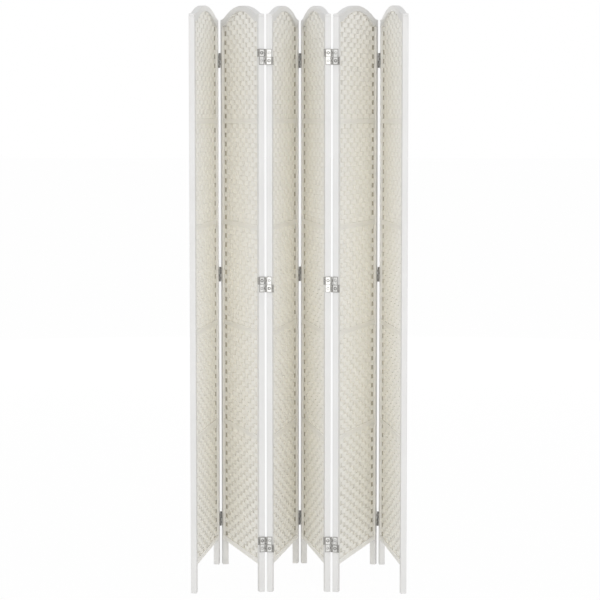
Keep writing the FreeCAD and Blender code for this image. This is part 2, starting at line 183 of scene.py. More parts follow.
class FOLDING_SCREEN_PG_finish(bpy.types.PropertyGroup):
    """Colours of the finishes."""

    paint: colour("Paint", "Satin paint on the wood", (0.8, 0.796, 0.787))
    # The cross rails' own paint. On the posts' faces beside the weave this cream is painted light that
    # stands for the light the weave bounces on them.
    rail_paint_and_post_light: colour("Rail paint", "Cream paint round the weave", (0.94, 0.93, 0.9))
    cord: colour("Cord", "Paper cord", (0.962, 0.953, 0.92))
    cord_shade: colour("Cord shade", "Darker strands of the paper cord", (0.943, 0.931, 0.892))
    rod: colour("Rod", "Pale wood of the rods", (0.925, 0.909, 0.865))
    # The edge rods' dark colour is painted shade: it stands for the shadowed notches where the rows turn
    # round the outermost rods beside the posts.
    edge_rod_shade: colour("Edge rod", "Dark wood of the rods beside the posts", (0.55, 0.52, 0.45))
    zinc: colour("Zinc", "Plating on the hinges", (0.74, 0.735, 0.715))
    # The dark plating is painted shade: it stands for the shadowed gaps round the plates and the screws,
    # and for the shading of the knuckles and pins.
    zinc_shade_colour: colour("Zinc edge", "Tarnished edges of the plating", (0.34, 0.333, 0.315))


class FOLDING_SCREEN_PG_stage(bpy.types.PropertyGroup):
    """The camera and the light."""

    camera_place: FloatVectorProperty(
        name="Camera place",
        description="Where the camera stands",
        default=(0.004, -5.966, 1.38),
        unit="LENGTH",
    )
    camera_pitch: FloatProperty(
        name="Camera pitch",
        description="How far the camera looks down",
        default=math.radians(4.378),
        unit="ROTATION",
    )
    camera_lens: FloatProperty(name="Lens", description="Focal length", default=121.2, unit="CAMERA")
    camera_shift: FloatProperty(name="Shift", description="Upward shift of the picture", default=-0.05)
    ambient: FloatProperty(name="Ambient light", description="Strength of the even light", default=0.78)
    lamp_power: FloatProperty(name="Lamp power", description="Power of each lamp", default=46, unit="POWER")
    lamp_bearing: FloatProperty(
        name="Lamp bearing",
        description="How far a lamp stands to the side of the front or the back",
        default=math.radians(13),
        unit="ROTATION",
    )
    lamp_distance: length("Lamp distance", "From the middle of the screen to a lamp", 6.6)
    lamp_level: length("Lamp level", "Height of a lamp", 1.0)
    lamp_size: length("Lamp size", "Width of a lamp", 2)
    bounces: IntProperty(name="Bounces", description="How often light bounces between surfaces", default=64)
    floor_reach: length("Floor reach", "From the middle of the floor to its edge", 60)
    floor: colour("Floor", "White floor", (0.94, 0.94, 0.94))
    floor_glow: share("Floor glow", "How much of the floor is seen as plain white", 0.97)


def settings():
    """The groups of sizes and colours, in the order of GROUPS."""
    return [getattr(bpy.context.scene, name) for name in GROUPS]


# The frame of reference of a panel


def panel_axes(panel):
    """A panel's own axes: x along it from its middle, y towards its back and z up from the floor."""
    left, right = POST_MIDDLES[panel]
    along = (right - left).normalized()
    axes = Matrix((along, UP.cross(along), UP)).transposed().to_4x4()
    axes.translation = (left + right) / 2
    axes.translation.z = 0
    return axes


def half_width():
    """Half the width of a panel, from the places of its posts."""
    left, right = POST_MIDDLES[1]
    return ((right - left).length + bpy.context.scene.screen_frame.post_width) / 2


def arch_height(across, run, rise):
    """Height of the crest's curve at a distance from the middle: a crown between two hollow ends."""
    sizes = bpy.context.scene.screen_frame
    reach = (run * run + rise * rise) / (2 * rise)
    hollow = sizes.hollow_share * reach
    crown = reach - hollow
    inward = run - min(abs(across), run)
    if inward < hollow * math.sin(2 * math.atan2(rise, run)):
        return hollow - math.sqrt(hollow * hollow - inward * inward)
    return rise - crown + math.sqrt(crown * crown - (run - inward) ** 2)


def crest_top(across):
    """Height of the crest's upper curve, which runs over the posts."""
    sizes = bpy.context.scene.screen_frame
    return sizes.end_height + arch_height(across, half_width(), sizes.crest_rise)


def crest_underside(across):
    """Height of the crest's lower curve."""
    sizes = bpy.context.scene.screen_frame
    run = half_width() - sizes.post_width
    rise = sizes.crest_rise + sizes.crest_shoulder - sizes.crest_band
    return sizes.end_height - sizes.crest_shoulder + arch_height(across, run, rise)


def rail_levels():
    """Heights of the middles of the rails, from the bottom rail up."""
    sizes = bpy.context.scene.screen_frame
    levels = [sizes.top_rail_level - step * sizes.rail_spacing for step in range(sizes.cross_rails)]
    return [sizes.floor_gap + sizes.rail_height / 2, *reversed(levels)]


def rod_places():
    """Places of the rods along the panel."""
    wood, weave = settings()[:2]
    reach = half_width() - wood.post_width - weave.rod_margin
    return [reach * (2 * rod / (weave.rods - 1) - 1) for rod in range(weave.rods)]


# Modelling helpers


def add_block(bm, low, high):
    """A block between two corners."""
    block = bmesh.ops.create_cube(bm, size=1)["verts"]
    bmesh.ops.scale(bm, vec=Vector(high) - Vector(low), verts=block)
    bmesh.ops.translate(bm, vec=(Vector(high) + Vector(low)) / 2, verts=block)
    return block


def soften(bm, edges, radius, segments=2):
    """Rounds edges, and shades the rounded faces smooth."""
    rounded = bmesh.ops.bevel(
        bm,
        geom=edges,
        offset=radius,
        offset_type="OFFSET",
        affect="EDGES",
        segments=segments,
        profile=0.5,
        material=-1,
        clamp_overlap=True,
    )
    for face in rounded["faces"]:
        face.smooth = True


def sharp_edges(edges):
    """Those edges where two faces meet at a sharp angle."""
    return [edge for edge in edges if edge.calc_face_angle(0) > SHARP_ANGLE]


def thicken_sheet(bm, way):
    """Gives a flat sheet a thickness along a vector."""
    wall = bmesh.ops.extrude_face_region(bm, geom=bm.faces[:], use_keep_orig=True)
    moved = [part for part in wall["geom"] if isinstance(part, bmesh.types.BMVert)]
    bmesh.ops.translate(bm, vec=way, verts=moved)
    bmesh.ops.recalc_face_normals(bm, faces=bm.faces)


def finish_piece(bm, name, panel, nodes, material, grain):
    """Places a piece that was modelled in a panel's own axes, with its grain along the given axis."""
    place = bm.verts.layers.float_vector.new(GRAIN_PLACE)
    for vert in bm.verts:
        vert[place] = [vert.co[(grain + step) % 3] for step in range(3)]
    bmesh.ops.transform(bm, matrix=panel_axes(panel), verts=bm.verts)
    bmesh.ops.recalc_face_normals(bm, faces=bm.faces)
    mesh = bpy.data.meshes.new(name)
    bm.to_mesh(mesh)
    bm.free()
    mesh.materials.append(material)
    piece = bpy.data.objects.new(name, mesh)
    bpy.context.scene.collection.objects.link(piece)
    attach(piece, f"panel_{panel}")
    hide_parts(*nodes)
    return piece


# Shader helpers

# Features per metre along three axes, the grain first where the finish has one
GRAIN_STREAKS = (7, 380, 380)
BRUSH_MARKS = (30, 1500, 1500)
BLOTCHES = (9, 22, 22)
CORD_STRANDS = (9, 60, 320)
CORD_PATCHES = (14, 30, 14)
CORD_FIBRES = (700, 1600, 1600)
CORD_TWIST = (330, 0, 420)
RUBBED_PATCHES = (90, 90, 90)
SCRATCHES = (250, 250, 3200)
SPANGLES = 420.0

# Ranges of a noise that a mask stretches: its middle, and nearly the whole of it
MIDDLE, WIDE = (0.35, 0.65), (0.3, 0.7)

# How a finish looks on wood: its darkest shade, what its tint and its gloss follow, and its roughness
PAINTED = {"shade": 0.965, "tint_mask": "Blotch", "gloss_mask": "Streak", "roughness": (0.42, 0.56)}
BARE = {"shade": 0.94, "tint_mask": "Streak", "gloss_mask": "Blotch", "roughness": (0.5, 0.7)}

CORD_ROUGHNESS = (0.72, 0.9)
ZINC_ROUGHNESS = (0.26, 0.42)
ZINC_SHADE = 0.8

# Sockets of a Mix node that blends colours
MIX_FIRST, MIX_SECOND, MIX_RESULT = 6, 7, 2


def put(tree, kind, inputs=None, **options):
    """Adds a node with its options, and sets or links its inputs."""
    node = tree.nodes.new(kind)
    for name, value in options.items():
        setattr(node, name, value)
    for name, value in (inputs or {}).items():
        if isinstance(value, bpy.types.NodeSocket):
            tree.links.new(value, node.inputs[name])
        else:
            node.inputs[name].default_value = value
    return node


def start_group(name, inputs, outputs):
    """A node group with named sockets. Returns the tree and its two ends."""
    tree = bpy.data.node_groups.new(name, "ShaderNodeTree")
    for way, sockets in (("INPUT", inputs), ("OUTPUT", outputs)):
        for socket, kind in sockets.items():
            tree.interface.new_socket(socket, in_out=way, socket_type="NodeSocket" + kind)
    return tree, tree.nodes.new("NodeGroupInput"), tree.nodes.new("NodeGroupOutput")


def stretched_noise(tree, place, stretch, detail=3.0):
    """Noise whose three scales, in features per metre, are given one by one."""
    spread = put(tree, "ShaderNodeVectorMath", {0: place, 1: stretch}, operation="MULTIPLY")
    inputs = {"Vector": spread.outputs[0], "Scale": 1.0, "Detail": detail}
    return put(tree, "ShaderNodeTexNoise", inputs).outputs[0]


def grain_group():
    """Streaks along the grain, fine brush lines across them and soft blotches."""
    name = "Grain and brush marks"
    if name in bpy.data.node_groups:
        return bpy.data.node_groups[name]
    masks = {"Height": "Float", "Blotch": "Float", "Streak": "Float"}
    tree, start, end = start_group(name, {"Place": "Vector"}, masks)
    place = start.outputs["Place"]
    streak = stretched_noise(tree, place, GRAIN_STREAKS, detail=4.0)
    brush = stretched_noise(tree, place, BRUSH_MARKS, detail=2.0)
    brush_share = 0.35
    height = put(tree, "ShaderNodeMix", {"Factor": brush_share, "A": streak, "B": brush})
    tree.links.new(height.outputs[0], end.inputs["Height"])
    tree.links.new(stretched_noise(tree, place, BLOTCHES), end.inputs["Blotch"])
    tree.links.new(streak, end.inputs["Streak"])
    return tree


def empty_tree(owner):
    """The emptied node tree of a material or a world."""
    owner.use_nodes = True
    owner.node_tree.nodes.clear()
    return owner.node_tree


def start_material(name):
    """A material with a Principled BSDF. Returns the material, its tree and its shader."""
    material = bpy.data.materials.new(name)
    tree = empty_tree(material)
    shader = tree.nodes.new("ShaderNodeBsdfPrincipled")
    put(tree, "ShaderNodeOutputMaterial", {"Surface": shader.outputs[0]})
    return material, tree, shader


def blend_colours(tree, mask, first, second):
    """A colour between two plain ones, by a mask."""
    mix = put(tree, "ShaderNodeMix", {"Factor": mask}, data_type="RGBA")
    for socket, value in ((MIX_FIRST, first), (MIX_SECOND, second)):
        mix.inputs[socket].default_value = (*value, 1)
    return mix.outputs[MIX_RESULT]


def remap(tree, value, span, new_span=(0, 1)):
    """Maps a range of values on another."""
    ends = zip(("From Min", "From Max", "To Min", "To Max"), (*span, *new_span))
    return put(tree, "ShaderNodeMapRange", {"Value": value, **dict(ends)}).outputs[0]


def add_bump(tree, shader, height, depth, strength):
    """Raises a surface by a height from 0 to 1, over a depth in metres."""
    bump = put(tree, "ShaderNodeBump", {"Height": height, "Distance": depth, "Strength": strength})
    tree.links.new(bump.outputs[0], shader.inputs["Normal"])


def wood_finish(name, tint, shade, tint_mask, gloss_mask, roughness):
    """A finish that lets the grain show in its tint, its gloss and its relief."""
    if name in bpy.data.materials:
        return bpy.data.materials[name]
    material, tree, shader = start_material(name)
    place = put(tree, "ShaderNodeAttribute", attribute_name=GRAIN_PLACE).outputs["Vector"]
    grain = put(tree, "ShaderNodeGroup", {"Place": place}, node_tree=grain_group()).outputs
    mask = remap(tree, grain[tint_mask], MIDDLE)
    tone = blend_colours(tree, mask, [shade * part for part in tint], tint)
    tree.links.new(tone, shader.inputs["Base Color"])
    tree.links.new(remap(tree, grain[gloss_mask], WIDE, roughness), shader.inputs["Roughness"])
    add_bump(tree, shader, grain["Height"], depth=0.0004, strength=0.5)
    return material


def white_paint():
    """The satin paint of the posts and the crest rails."""
    return wood_finish("satin_white_paint", bpy.context.scene.screen_finish.paint, **PAINTED)


def cream_paint_and_light():
    """The satin cream paint of the cross rails. On the posts' faces beside the weave the same cream is
    painted light: it stands for the light that the weave bounces on them, and makes them paler than their
    white paint.
    """
    return wood_finish("satin_cream_paint", bpy.context.scene.screen_finish.rail_paint_and_post_light, **PAINTED)


def paper_cord():
    """Twisted paper cord: slanting twist lines, fibres and strands of slightly different tone."""
    name = "twisted_paper_cord"
    if name in bpy.data.materials:
        return bpy.data.materials[name]
    material, tree, shader = start_material(name)
    finish = bpy.context.scene.screen_finish
    place = put(tree, "ShaderNodeAttribute", attribute_name=GRAIN_PLACE).outputs["Vector"]
    strand = stretched_noise(tree, place, CORD_STRANDS, detail=2.0)
    patch = stretched_noise(tree, place, CORD_PATCHES)
    tone = put(tree, "ShaderNodeMath", {0: strand, 1: patch}, operation="ADD").outputs[0]
    mask = remap(tree, tone, [2 * end for end in MIDDLE])
    tint = blend_colours(tree, mask, finish.cord_shade, finish.cord)
    tree.links.new(tint, shader.inputs["Base Color"])
    course = put(tree, "ShaderNodeVectorMath", {0: place, 1: CORD_TWIST}, operation="DOT_PRODUCT")
    wave = put(tree, "ShaderNodeMath", {0: course.outputs["Value"], 1: math.tau}, operation="MULTIPLY")
    twist = put(tree, "ShaderNodeMath", {0: wave.outputs[0]}, operation="SINE").outputs[0]
    fibre = stretched_noise(tree, place, CORD_FIBRES)
    twist_share = 0.25
    height = put(tree, "ShaderNodeMath", {0: twist, 1: twist_share, 2: fibre}, operation="MULTIPLY_ADD")
    add_bump(tree, shader, height.outputs[0], depth=0.0002, strength=0.6)
    shader.inputs["Specular IOR Level"].default_value = 0.2
    tree.links.new(remap(tree, fibre, WIDE, CORD_ROUGHNESS), shader.inputs["Roughness"])
    return material


def plating(name, zinc):
    """Zinc plating with faint spangle and rubbed patches."""
    if name in bpy.data.materials:
        return bpy.data.materials[name]
    material, tree, shader = start_material(name)
    place = put(tree, "ShaderNodeTexCoord").outputs["Object"]
    spangle = put(tree, "ShaderNodeTexVoronoi", {"Vector": place, "Scale": SPANGLES}).outputs["Color"]
    patch = stretched_noise(tree, place, RUBBED_PATCHES)
    tone = put(tree, "ShaderNodeSeparateColor", {0: spangle}).outputs[0]
    spangle_share, tone_span = 0.4, (0.4, 0.9)
    inputs = {0: tone, 1: spangle_share, 2: patch}
    mask = put(tree, "ShaderNodeMath", inputs, operation="MULTIPLY_ADD").outputs[0]
    shade = [ZINC_SHADE * part for part in zinc]
    tint = blend_colours(tree, remap(tree, mask, tone_span), shade, zinc)
    tree.links.new(tint, shader.inputs["Base Color"])
    tree.links.new(remap(tree, patch, WIDE, ZINC_ROUGHNESS), shader.inputs["Roughness"])
    shader.inputs["Metallic"].default_value = 1
    scratch = stretched_noise(tree, place, SCRATCHES, detail=2.0)
    add_bump(tree, shader, scratch, depth=0.0001, strength=0.3)
    return material


# One operator for each kind of piece


class FOLDING_SCREEN_OT_posts(bpy.types.Operator):
    """Builds the two posts of every panel."""

    bl_idname = "folding_screen.posts"
    bl_label = "Posts"

    def execute(self, context):
        sizes = context.scene.screen_frame
        white, painted_light = white_paint(), cream_paint_and_light()
        half, skin = half_width(), sizes.thickness / 2
        foot, top = sizes.floor_gap, sizes.end_height - sizes.crest_tail
        for panel in PANELS:
            for side, sign in (("left", -1), ("right", 1)):
                bm = bmesh.new()
                ends = sorted((sign * half, sign * (half - sizes.post_width)))
                add_block(bm, (ends[0], -skin, 0), (ends[1], skin, top))
                soften(bm, bm.edges[:], sizes.post_round)
                whole = bm.verts[:] + bm.edges[:] + bm.faces[:]
                bmesh.ops.bisect_plane(bm, geom=whole, plane_co=(0, 0, foot), plane_no=UP)
                bm.normal_update()
                # Faces turned to the weave, above the floor gap, take the cream as painted light: the light
                # that the weave bounces on them.
                for face in bm.faces:
                    inward = face.normal.x * sign < -FACING
                    face.material_index = inward and face.calc_center_median().z > foot
                name = f"panel_{panel}_{side}_post"
                piece = finish_piece(bm, name + "_painted", panel, [name], white, UPRIGHT)
                piece.data.materials.append(painted_light)
        return {"FINISHED"}


class FOLDING_SCREEN_OT_crests(bpy.types.Operator):
    """Builds the arched crest rail of every panel."""

    bl_idname = "folding_screen.crests"
    bl_label = "Crest rails"

    columns = 48

    def execute(self, context):
        for panel in PANELS:
            bm = self.make_crest(context.scene.screen_frame)
            name = f"panel_{panel}_crest_rail"
            finish_piece(bm, name + "_painted", panel, [name], white_paint(), ALONG)
        return {"FINISHED"}

    def make_crest(self, sizes):
        """A thickened sheet of three lines, bent to the two curves, with no lower strip over the posts."""
        columns, half = self.columns, half_width()
        inner = half - sizes.post_width
        seat = sizes.end_height - sizes.crest_tail
        tail_share = 1 - sizes.crest_tail / sizes.crest_shoulder
        bm = bmesh.new()
        bmesh.ops.create_grid(bm, x_segments=columns + 2, y_segments=2, size=1)
        over_posts = []
        for face in bm.faces:
            middle = face.calc_center_median()
            if abs(middle.x) > columns / (columns + 2) and middle.y < 0:
                over_posts.append(face)
        for vert in bm.verts:
            step = vert.co.x * (columns + 2) / columns
            outermost = abs(step) > 1 + 0.5 / columns
            across = math.copysign(half, step) if outermost else inner * step
            low, high = crest_underside(across), crest_top(across)
            middle = seat if abs(across) > inner - MILLIMETRE else low + tail_share * (high - low)
            vert.co = (across, -sizes.thickness / 2, {-1: low, 0: middle, 1: high}[round(vert.co.y)])
        bmesh.ops.delete(bm, geom=over_posts, context="FACES")
        thicken_sheet(bm, (0, sizes.thickness, 0))
        for face in bm.faces:
            face.smooth = abs(face.normal.z) > FACING
        soften(bm, sharp_edges(bm.edges), sizes.crest_round)
        return bm


class FOLDING_SCREEN_OT_rails(bpy.types.Operator):
    """Builds the cross rails and the bottom rail of every panel."""

    bl_idname = "folding_screen.rails"
    bl_label = "Rails"

    def execute(self, context):
        sizes = context.scene.screen_frame
        inner = half_width() - sizes.post_width
        skin, rise = sizes.rail_thickness / 2, sizes.rail_height / 2
        for panel in PANELS:
            bm = bmesh.new()
            for level in rail_levels():
                add_block(bm, (-inner, -skin, level - rise), (inner, skin, level + rise))
            lengthwise = [edge for edge in bm.edges if edge.calc_length() > inner]
            soften(bm, lengthwise, sizes.rail_round)
            name = f"panel_{panel}_cross_rails"
            finish_piece(bm, name + "_painted", panel, [name], cream_paint_and_light(), ALONG)
        return {"FINISHED"}


class FOLDING_SCREEN_OT_rods(bpy.types.Operator):
    """Builds the upright rods of every panel."""

    bl_idname = "folding_screen.rods"
    bl_label = "Rods"

    sides = 12

    def execute(self, context):
        wood, weave = settings()[:2]
        finish = context.scene.screen_finish
        pale = wood_finish("pale_rod_wood", finish.rod, **BARE)
        # The outermost rods get this dark wood as painted shade.
        dark = wood_finish("dark_rod_wood", finish.edge_rod_shade, **BARE)
        foot = wood.floor_gap + wood.rail_height - weave.rod_seat
        places = rod_places()
        for panel in PANELS:
            bm = bmesh.new()
            for across in places:
                top = crest_underside(across) + weave.rod_seat
                bmesh.ops.create_cone(
                    bm,
                    cap_ends=True,
                    segments=self.sides,
                    radius1=weave.rod_radius,
                    radius2=weave.rod_radius,
                    depth=top - foot,
                    matrix=Matrix.Translation((across, 0, (foot + top) / 2)),
                )
            for face in bm.faces:
                face.smooth = abs(face.normal.z) < FACING
                # The two outermost rods take the second slot, the painted shade.
                face.material_index = abs(face.calc_center_median().x) > places[-1] - weave.rod_margin
            name = f"panel_{panel}_warp_rods"
            piece = finish_piece(bm, name + "_round", panel, [name], pale, UPRIGHT)
            piece.data.materials.append(dark)
        return {"FINISHED"}


class FOLDING_SCREEN_OT_weave(bpy.types.Operator):
    """Weaves the bays of every panel with paper cord."""

    bl_idname = "folding_screen.weave"
    bl_label = "Weave"

    steps_between_rods = 4
    steps_round_rod = 5
    strays_per_metre = 60
    panel_seed, row_seed, arch_seed = 17.3, 5.1, 3.7

    def execute(self, context):
        for panel in PANELS:
            bm = bmesh.new()
            self.weave_panel(bm, panel)
            for face in bm.faces:
                face.smooth = True
            name = f"panel_{panel}_woven_infill"
            finish_piece(bm, name + "_cords", panel, [name], paper_cord(), ALONG)
        return {"FINISHED"}

    def weave_panel(self, bm, panel):
        """One unbroken weft in each bay, and shorter rows under the arch."""
        wood, weave = settings()[:2]
        half_rail = wood.rail_height / 2
        levels = rail_levels()
        ceiling = wood.end_height - wood.crest_shoulder
        bays = [(low + half_rail, high - half_rail) for low, high in zip(levels, levels[1:])]
        bays.append((levels[-1] + half_rail, ceiling))
        for bay, (low, high) in enumerate(bays):
            rows = round((high - low) / weave.row_height)
            pitch = (high - low) / rows
            seed = Vector((self.panel_seed * panel, self.row_seed * bay, 0))
            self.add_band(bm, self.weft_course(low, pitch, rows), pitch, seed)
        # The rows under the arch go on from those of the last bay
        low, row = ceiling, rows
        while low < crest_underside(0) - weave.cord_radius:
            reach = self.arch_reach(low)
            seed = Vector((self.panel_seed * panel, self.row_seed * row, self.arch_seed))
            self.add_band(bm, self.short_course(low + pitch / 2, row, reach), pitch, seed)
            low, row = low + pitch, row + 1

    def arch_reach(self, level):
        """How far a row at this level runs from the middle before the crest covers its end."""
        wood, weave = settings()[:2]
        reach = half_width() - wood.post_width
        while crest_underside(reach) < level - weave.cord_radius and reach > weave.rod_margin:
            reach -= MILLIMETRE
        return reach

    def swing_depth(self):
        """How far a row swings to the front and to the back of the rods."""
        weave = bpy.context.scene.screen_weave
        return weave.rod_radius + weave.cord_radius - weave.press

    def wave(self, across, row):
        """Depth, slope and spread of a row where it winds between the rods."""
        weave = bpy.context.scene.screen_weave
        rods = rod_places()
        swing = self.swing_depth() * (-1) ** row
        phase = math.pi * (across - rods[0]) / (rods[1] - rods[0])
        slope = -swing * math.sin(phase) * math.pi / (rods[1] - rods[0])
        return swing * math.cos(phase), slope, 1 + weave.swell_share * abs(math.cos(phase))

    def weft_course(self, low, pitch, rows):
        """Points, directions and spreads of a weft that winds to and fro between the outermost rods."""
        weave = bpy.context.scene.screen_weave
        rods = rod_places()
        steps = self.steps_between_rods * (len(rods) - 1)
        bend = weave.rod_radius + weave.cord_radius
        course = []
        for row in range(rows):
            level = low + (row + 0.5) * pitch
            way = 1 if row % 2 == 0 else -1
            for step in range(steps + 1):
                across = way * rods[-1] * (2 * step / steps - 1)
                depth, slope, spread = self.wave(across, row)
                course.append((Vector((across, depth, level)), Vector((way, way * slope, 0)), spread))
            if row == rows - 1:
                break
            for step in range(1, self.steps_round_rod):
                turn = math.pi * step / self.steps_round_rod
                rise = pitch * (1 - math.cos(turn)) / 2
                across = way * (rods[-1] + bend * math.sin(turn))
                spot = (across, -self.swing_depth() * math.cos(turn), level + rise)
                drawn_in = spread + (weave.turn_share - spread) * math.sin(turn)
                course.append((Vector(spot), Vector((way * math.cos(turn), math.sin(turn), 0)), drawn_in))
        return course

    def short_course(self, level, row, reach):
        """Points, directions and spreads of one row under the arch."""
        rods = rod_places()
        steps = max(2, round(2 * reach / (rods[1] - rods[0]) * self.steps_between_rods))
        course = []
        for step in range(steps + 1):
            across = reach * (2 * step / steps - 1)
            depth, slope, spread = self.wave(across, row)
            course.append((Vector((across, depth, level)), Vector((1, slope, 0)), spread))
        return course

    def band_section(self):
        """Depths round a band of cords side by side, and levels from -0.5 to 0.5 of its height."""
        weave = bpy.context.scene.screen_weave
        front = []
        for step in range(2 * weave.strands + 1):
            depth = 1 if step % 2 else weave.groove_share
            front.append((-depth * weave.cord_radius, 0.5 - step / (2 * weave.strands)))
        back = [(-depth, level) for depth, level in reversed(front)]
        return front + back + front[:1]

    def add_band(self, bm, course, pitch, seed):
        """Sweeps the band's section along a course."""
        weave = bpy.context.scene.screen_weave
        section = self.band_section()
        steps, around = len(course) - 1, len(section) - 1
        grid = bmesh.ops.create_grid(bm, x_segments=steps, y_segments=around, size=1)["verts"]
        frames = []
        for spot, way, spread in course:
            side = UP.cross(way).normalized()
            stray = noise.noise_vector(seed + spot * self.strays_per_metre) * weave.slack
            frames.append((spot + stray, side, pitch * spread))
        for vert in grid:
            spot, side, height = frames[round((vert.co.x + 1) / 2 * steps)]
            depth, level = section[round((vert.co.y + 1) / 2 * around)]
            vert.co = spot + side * depth + UP * (level * height)
        bmesh.ops.remove_doubles(bm, verts=grid, dist=MERGE_DISTANCE)
        rims = [edge for edge in bm.edges if edge.is_boundary]
        bmesh.ops.holes_fill(bm, edges=rims, sides=0)


class FOLDING_SCREEN_OT_hinges(bpy.types.Operator):
    """Builds the leaves and links of every panel's hinges, and plates the pins and screws."""

    bl_idname = "folding_screen.hinges"
    bl_label = "Hinges"

    # Material slots: the plain plating, and the dark plating that is painted shade.
    bright, dark = 0, 1
    outline_points = 24
    knuckles = 6
    knuckle_sides = 14

    def execute(self, context):
        finish = context.scene.screen_finish
        plate = plating("zinc_plate", finish.zinc)
        # Dark plating as painted shade on rims, rings, knuckles and pins.
        shade_plating = plating("tarnished_zinc", finish.zinc_shade_colour)
        for panel in PANELS:
            upside_down = Matrix.Rotation(math.pi, 4, "X") if panel % 2 else Matrix()
            plates = (("leaves", self.make_leaf, Matrix()), ("links", self.make_link, upside_down))
            for word, make, turn in plates:
                bm = bmesh.new()
                for spot in self.hinge_spots(panel):
                    self.add_copy(bm, make(context.scene.screen_hinge), spot @ turn)
                name = f"panel_{panel}_hinge_{word}"
                piece = finish_piece(bm, name + "_plated", panel, [name], plate, UPRIGHT)
                piece.data.materials.append(shade_plating)
            # The pins take the dark plating as painted shade; the screws take the plain plating.
            for word, material in (("pins", shade_plating), ("screws", plate)):
                mesh = frame["nodes"][f"panel_{panel}_hinge_{word}"].data
                mesh.materials.clear()
                mesh.materials.append(material)
        return {"FINISHED"}

    def hinge_spots(self, panel):
        """Places of a panel's hinges: x points out of the post's edge, y to the back and z up."""
        sizes = bpy.context.scene.screen_hinge
        edges = []
        if panel > PANELS[0]:
            edges.append(Matrix.Translation((-half_width(), 0, 0)) @ Matrix.Rotation(math.pi, 4, "Z"))
        if panel < PANELS[-1]:
            edges.append(Matrix.Translation((half_width(), 0, 0)))
        levels = (sizes.low_level, sizes.middle_level, sizes.top_level)
        return [Matrix.Translation((0, 0, level)) @ edge for edge in edges for level in levels]

    def add_copy(self, bm, part, turn):
        """Adds a part to a mesh, turned into its place."""
        mesh = bpy.data.meshes.new("hinge_part")
        part.transform(turn)
        part.to_mesh(mesh)
        part.free()
        bm.from_mesh(mesh)
        bpy.data.meshes.remove(mesh)

    def make_leaf(self, sizes):
        """A leaf plate with a knuckle at the front above its middle and one at the back below it."""
        bm = bmesh.new()
        wide, tall = sizes.leaf_width / 2, sizes.height / 2
        outer = ((-wide, 0), (wide, tall))
        inner = ((sizes.rim - wide, 0), (wide - sizes.rim, tall - sizes.rim))
        ring = (sizes.screw_head + sizes.rim / 2, sizes.screw_hole)
        self.add_sheet(bm, (0, tall / 2), (outer, inner), ring)
        bmesh.ops.mirror(bm, geom=[*bm.verts, *bm.edges, *bm.faces], axis="Z", merge_dist=MERGE_DISTANCE)
        self.thicken(bm, sizes, 0)
        pitch, gap = sizes.height / self.knuckles, sizes.knuckle_gap / 2
        for side in (-1, 1):
            low, high = sorted((-side * pitch, -2 * side * pitch))
            self.add_knuckle(bm, sizes, side, wide, 0, low + gap, high - gap)
        return bm

    def make_link(self, sizes):
        """The upper link: a plate with a hole that lets the screw show, and two knuckles at each end."""
        bm = bmesh.new()
        pitch, gap = sizes.height / self.knuckles, sizes.knuckle_gap / 2
        wide = sizes.pin_reach - sizes.edge_gap / 2 - sizes.swing_gap
        top = sizes.height / 2 - gap
        outer = ((-wide, gap), (wide, top))
        inner = ((sizes.rim - wide, gap + sizes.rim), (wide - sizes.rim, top - sizes.rim))
        ring = (sizes.access_radius + sizes.rim / 2, sizes.access_radius)
        self.add_sheet(bm, (0, sizes.height / 4), (outer, inner), ring)
        depth = (sizes.edge_gap - sizes.leaf_thickness) / 2
        self.thicken(bm, sizes, depth)
        for side in (-1, 1):
            for step in (0, 2):
                self.add_knuckle(bm, sizes, side, wide, depth, step * pitch + gap, (step + 1) * pitch - gap)
        return bm

    def add_sheet(self, bm, middle, rectangles, ring):
        """A flat sheet with a round hole: a rim of painted shade, a bright face and a ring of painted shade
        round the hole.
        """
        turns = [math.tau * (point + 0.5) / self.outline_points for point in range(self.outline_points)]
        ways = [(math.cos(turn), math.sin(turn)) for turn in turns]
        outlines = [self.rectangle_spots(middle, *corners, ways) for corners in rectangles]
        for radius in ring:
            outlines.append([(middle[0] + radius * way[0], middle[1] + radius * way[1]) for way in ways])
        loops = []
        for spots in outlines:
            verts = [bm.verts.new((0, *spot)) for spot in spots]
            loops.append([bm.edges.new(pair) for pair in zip(verts, verts[1:] + verts[:1])])
        for number, pair in enumerate(zip(loops, loops[1:])):
            for face in bmesh.ops.bridge_loops(bm, edges=pair[0] + pair[1])["faces"]:
                face.material_index = self.bright if number == 1 else self.dark
        bmesh.ops.remove_doubles(bm, verts=bm.verts, dist=MERGE_DISTANCE)

    def rectangle_spots(self, middle, low, high, ways):
        """Points round a rectangle as seen from a middle, four of them at its corners."""
        spots = []
        for way in ways:
            reach = min(
                ((high if part > 0 else low)[axis] - middle[axis]) / part for axis, part in enumerate(way)
            )
            spots.append([middle[axis] + reach * way[axis] for axis in (0, 1)])
        for corner in (low, high, (low[0], high[1]), (high[0], low[1])):
            nearest = min(spots, key=lambda spot: math.dist(spot, corner))
            nearest[:] = corner
        return spots

    def thicken(self, bm, sizes, depth):
        """Gives a sheet the thickness of a leaf, from a depth outwards, and softens its outline."""
        bmesh.ops.translate(bm, vec=(depth, 0, 0), verts=bm.verts)
        thicken_sheet(bm, (sizes.leaf_thickness, 0, 0))
        soften(bm, sharp_edges(bm.edges), sizes.bevel)

